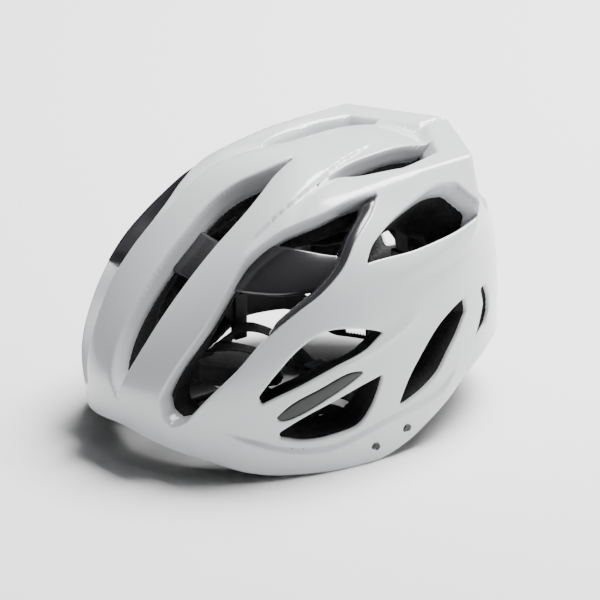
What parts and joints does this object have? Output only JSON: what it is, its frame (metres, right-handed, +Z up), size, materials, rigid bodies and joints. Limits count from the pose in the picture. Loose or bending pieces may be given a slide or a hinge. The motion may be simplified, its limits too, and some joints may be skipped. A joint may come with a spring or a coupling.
{
  "type": "cycling helmet",
  "caption": "Vented white cycling helmet: gloss shell on a black foam liner, rear dial fit system, webbing straps with cam locks and a side-release buckle.",
  "frame": {"origin": "mid-width and mid-length of the helmet, on the plane that its rim rests on", "axes": "+X to the rider's left, -Y to the front, +Z up through the crown"},
  "size_m": [0.21, 0.2751, 0.165],
  "materials": {
    "shell_white": "gloss moulded polycarbonate skin",
    "foam_black": "moulded bead foam, matt",
    "smoke_gloss": "gloss moulded plastic",
    "leaf_gloss": "gloss moulded plastic",
    "black_plastic": "fine satin texture",
    "grey_plastic": "satin",
    "pad_cloth": "brushed knit over soft foam",
    "webbing": "woven polyester webbing"
  },
  "bodies": {
    "helmet": {"outer_shell": "shell_white", "eps_liner": "foam_black", "front_bridge": "smoke_gloss", "left_leaf_inlay": "leaf_gloss", "right_leaf_inlay": "leaf_gloss", "left_shoulder_insert": "smoke_gloss", "right_shoulder_insert": "smoke_gloss", "brow_pad": "pad_cloth", "left_crown_pad": "pad_cloth", "right_crown_pad": "pad_cloth", "left_side_pad": "pad_cloth", "right_side_pad": "pad_cloth", "left_front_anchor_plug": "black_plastic", "right_front_anchor_plug": "black_plastic", "left_rear_anchor_plug": "black_plastic", "right_rear_anchor_plug": "black_plastic", "height_guide": "black_plastic", "left_temple_guide": "black_plastic", "right_temple_guide": "black_plastic"},
    "cradle": {"cradle_inner_cover": "black_plastic", "cradle_outer_cover": "black_plastic", "left_nape_pad": "pad_cloth", "right_nape_pad": "pad_cloth", "height_hanger": "black_plastic"},
    "dial": {"dial_knob": "grey_plastic", "dial_pinion": "grey_plastic"},
    "left_ring_band": {"left_band": "black_plastic"},
    "right_ring_band": {"right_band": "black_plastic"},
    "left_strap": {"left_front_web": "webbing", "left_rear_web": "webbing", "left_cam_lock_body": "black_plastic", "buckle_socket": "black_plastic"},
    "right_strap": {"right_front_web": "webbing", "right_rear_web": "webbing", "right_cam_lock_body": "black_plastic", "buckle_tongue": "black_plastic", "strap_tail": "webbing"},
    "left_lever": {"left_cam_lock_lever": "grey_plastic"},
    "right_lever": {"right_cam_lock_lever": "grey_plastic"},
    "inner_prong": {"buckle_inner_prong": "black_plastic"},
    "outer_prong": {"buckle_outer_prong": "black_plastic"},
    "keeper": {"tail_keeper": "black_plastic"}
  },
  "joints": [
    {"name": "cradle_height", "type": "slide", "parent": "helmet", "child": "cradle", "axis": [0, 0, -1], "range_m": [0, 0.009]},
    {"name": "dial_turn", "type": "hinge", "parent": "cradle", "child": "dial", "pos_m": [0, 0.098, 0.017], "axis": [0, 1, 0], "range_deg": [-175, 175]},
    {"name": "left_band_draw", "type": "hinge", "parent": "cradle", "child": "left_ring_band", "pos_m": [0, 0.01805, 0.017], "axis": [0, 0, 1], "range_deg": [-10.1, 10.1]},
    {"name": "right_band_draw", "type": "hinge", "parent": "cradle", "child": "right_ring_band", "pos_m": [0, 0.01805, 0.017], "axis": [0, 0, 1], "range_deg": [-10.1, 10.1]},
    {"name": "left_strap_swing", "type": "hinge", "parent": "helmet", "child": "left_strap", "pos_m": [0.075, -0.00445, 0.0105], "axis": [-0.0563, -0.9578, -0.2817], "range_deg": [0, 75]},
    {"name": "right_strap_swing", "type": "hinge", "parent": "helmet", "child": "right_strap", "pos_m": [-0.075, -0.00445, 0.0105], "axis": [-0.0563, 0.9578, 0.2817], "range_deg": [0, 75]},
    {"name": "left_lever_open", "type": "hinge", "parent": "left_strap", "child": "left_lever", "pos_m": [0.0039, -0.04695, 0.0076], "axis": [0, -1, 0], "range_deg": [0, 100]},
    {"name": "right_lever_open", "type": "hinge", "parent": "right_strap", "child": "right_lever", "pos_m": [-0.0039, 0.03805, 0.0076], "axis": [0, 1, 0], "range_deg": [0, 100]},
    {"name": "inner_prong_flex", "type": "hinge", "parent": "right_strap", "child": "inner_prong", "pos_m": [0.045, 0.03315, 0.0042], "axis": [0, 0, 1], "range_deg": [0, 8], "stiffness_Nm_per_rad": 0.4},
    {"name": "outer_prong_flex", "type": "hinge", "parent": "right_strap", "child": "outer_prong", "pos_m": [0.045, 0.04295, 0.0042], "axis": [0, 0, -1], "range_deg": [0, 8], "stiffness_Nm_per_rad": 0.4},
    {"name": "keeper_slide", "type": "slide", "parent": "right_strap", "child": "keeper", "axis": [1, 0, 0], "range_m": [-0.008, 0.01]}
  ],
  "couplings": [
    {"joint": "left_band_draw", "follows": "dial_turn", "ratio": -0.0572},
    {"joint": "right_band_draw", "follows": "dial_turn", "ratio": 0.0572}
  ]
}
